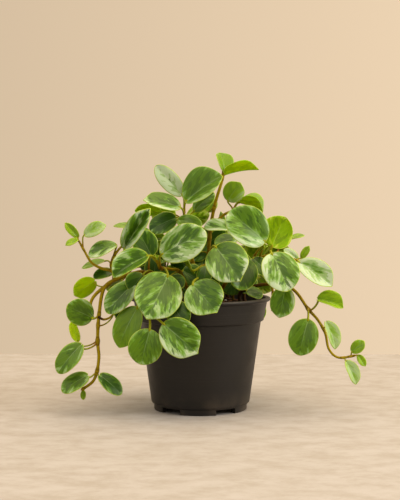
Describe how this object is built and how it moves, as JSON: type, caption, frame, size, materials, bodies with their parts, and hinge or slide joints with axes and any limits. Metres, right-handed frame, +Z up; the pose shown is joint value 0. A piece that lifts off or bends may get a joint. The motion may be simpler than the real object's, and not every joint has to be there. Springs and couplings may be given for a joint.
{
  "type": "potted peperomia",
  "caption": "Bushy potted house plant with round, pale-edged variegated leaves on trailing stems, rooted in soil in a round tapered plastic nursery pot.",
  "frame": {"origin": "middle of the whole plant's footprint, on the surface that the pot stands on; the pot's own axis is 8.5 mm to the left (-X) and 11 mm to the front (-Y) of it", "axes": "+Z up; -Y is the front that the picture shows; +X to the right"},
  "size_m": [0.2595, 0.1768, 0.2213],
  "materials": {
    "pot_plastic": "satin, charcoal black",
    "potting_soil": "damp loose peat with bark fibres",
    "foliage": "waxy variegated green with pale margins",
    "stem_skin": "satin, brown at the base to olive at the tips"
  },
  "bodies": {
    "root": {"pot": "pot_plastic", "soil": "potting_soil", "stem_left": "foliage", "stem_front_left": "foliage", "stem_rim": "foliage", "stem_front_middle": "foliage", "stem_upper_left": "foliage", "stem_crown": "foliage", "stem_right": "foliage", "stem_right_trailing": "foliage", "stem_left_side": "foliage", "stem_right_side": "foliage", "stem_rear_left": "foliage", "stem_rear_middle": "foliage", "stem_rear_right": "foliage", "stem_rear_crown_left": "foliage", "stem_rear_crown_right": "foliage"}
  },
  "joints": []
}
